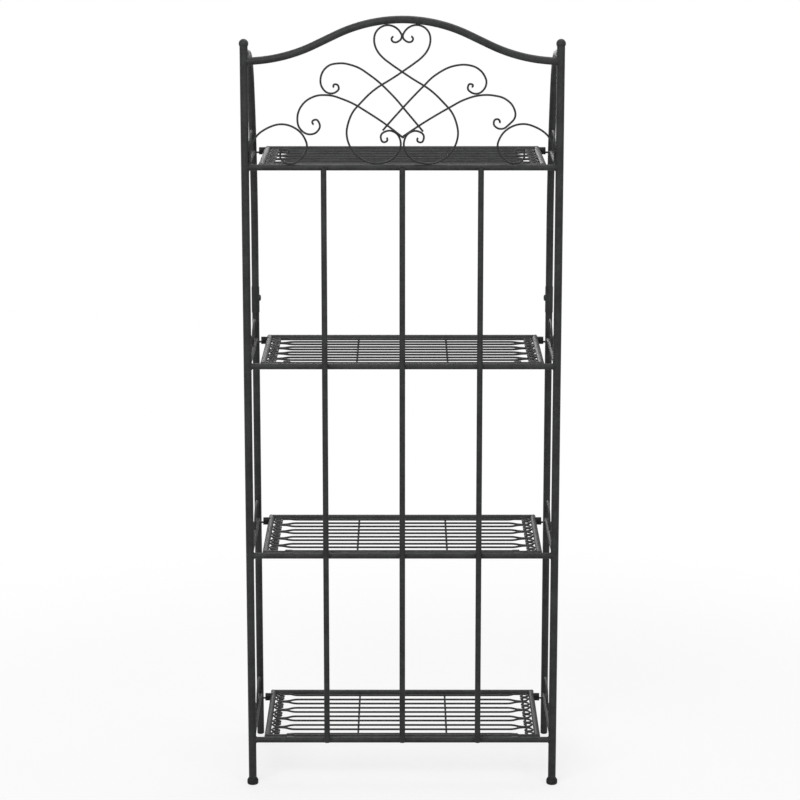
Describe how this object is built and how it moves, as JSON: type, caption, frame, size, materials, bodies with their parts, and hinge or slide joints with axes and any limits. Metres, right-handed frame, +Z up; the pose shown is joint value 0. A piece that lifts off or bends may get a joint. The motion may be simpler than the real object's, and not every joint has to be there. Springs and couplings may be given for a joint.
{
  "type": "folding bakers rack",
  "caption": "Folding wire-shelf bakers rack: arched back frame with scrollwork and bars, curved side panels on pin hinges, and lift-up shelves that latch on side pins.",
  "frame": {"origin": "middle of the rack's footprint, on the floor", "axes": "+X along the shelves, +Y from the barred back frame to the open front, +Z up"},
  "size_m": [0.643, 0.3258, 1.5835],
  "materials": {
    "powder_coat": "charcoal black powder coat, satin with a fine texture",
    "foot_rubber": "matte black rubber",
    "latch_plastic": "matte black moulded plastic",
    "glide_plastic": "matte black moulded plastic"
  },
  "bodies": {
    "back_frame": {"arch_tube": "powder_coat", "bottom_back_rail": "powder_coat", "center_back_bar": "powder_coat", "left_back_bar": "powder_coat", "left_back_foot": "foot_rubber", "left_back_post": "powder_coat", "left_end_scroll": "powder_coat", "left_finial": "powder_coat", "left_heart_scroll": "powder_coat", "left_hinge_lugs": "powder_coat", "left_lower_scroll": "powder_coat", "left_upper_scroll": "powder_coat", "lower_back_rail": "powder_coat", "right_back_bar": "powder_coat", "right_back_foot": "foot_rubber", "right_back_post": "powder_coat", "right_end_scroll": "powder_coat", "right_finial": "powder_coat", "right_heart_scroll": "powder_coat", "right_hinge_lugs": "powder_coat", "right_lower_scroll": "powder_coat", "right_upper_scroll": "powder_coat", "shelf_hinge_clips": "powder_coat", "top_back_rail": "powder_coat", "upper_back_rail": "powder_coat"},
    "left_panel": {"left_leg": "powder_coat", "left_leg_bolt": "powder_coat", "left_leg_glide": "glide_plastic", "left_leg_sleeve": "powder_coat", "left_rear_tube": "powder_coat", "left_shelf_pins": "powder_coat", "left_side_rails": "powder_coat", "left_side_scrolls": "powder_coat"},
    "right_panel": {"right_leg": "powder_coat", "right_leg_bolt": "powder_coat", "right_leg_glide": "glide_plastic", "right_leg_sleeve": "powder_coat", "right_rear_tube": "powder_coat", "right_shelf_pins": "powder_coat", "right_side_rails": "powder_coat", "right_side_scrolls": "powder_coat"},
    "top_shelf": {"top_shelf_cross_wires": "powder_coat", "top_shelf_latches": "latch_plastic", "top_shelf_rear_rail": "powder_coat", "top_shelf_rim": "powder_coat", "top_shelf_wires": "powder_coat"},
    "upper_shelf": {"upper_shelf_cross_wires": "powder_coat", "upper_shelf_latches": "latch_plastic", "upper_shelf_rear_rail": "powder_coat", "upper_shelf_rim": "powder_coat", "upper_shelf_wires": "powder_coat"},
    "lower_shelf": {"lower_shelf_cross_wires": "powder_coat", "lower_shelf_latches": "latch_plastic", "lower_shelf_rear_rail": "powder_coat", "lower_shelf_rim": "powder_coat", "lower_shelf_wires": "powder_coat"},
    "bottom_shelf": {"bottom_shelf_cross_wires": "powder_coat", "bottom_shelf_latches": "latch_plastic", "bottom_shelf_rear_rail": "powder_coat", "bottom_shelf_rim": "powder_coat", "bottom_shelf_wires": "powder_coat"}
  },
  "joints": [
    {"name": "top_shelf_hinge", "type": "hinge", "parent": "back_frame", "child": "top_shelf", "pos_m": [0, -0.1294, 1.286], "axis": [1, 0, 0], "range_deg": [0, 90]},
    {"name": "upper_shelf_hinge", "type": "hinge", "parent": "back_frame", "child": "upper_shelf", "pos_m": [0, -0.1294, 0.885], "axis": [1, 0, 0], "range_deg": [0, 90]},
    {"name": "lower_shelf_hinge", "type": "hinge", "parent": "back_frame", "child": "lower_shelf", "pos_m": [0, -0.1294, 0.491], "axis": [1, 0, 0], "range_deg": [0, 90]},
    {"name": "bottom_shelf_hinge", "type": "hinge", "parent": "back_frame", "child": "bottom_shelf", "pos_m": [0, -0.1294, 0.096], "axis": [1, 0, 0], "range_deg": [0, 90]},
    {"name": "left_panel_hinge", "type": "hinge", "parent": "back_frame", "child": "left_panel", "pos_m": [-0.31, -0.12885, 0.8], "axis": [0, 0, 1], "range_deg": [0, 90]},
    {"name": "right_panel_hinge", "type": "hinge", "parent": "back_frame", "child": "right_panel", "pos_m": [0.31, -0.12885, 0.8], "axis": [0, 0, -1], "range_deg": [0, 90]}
  ]
}
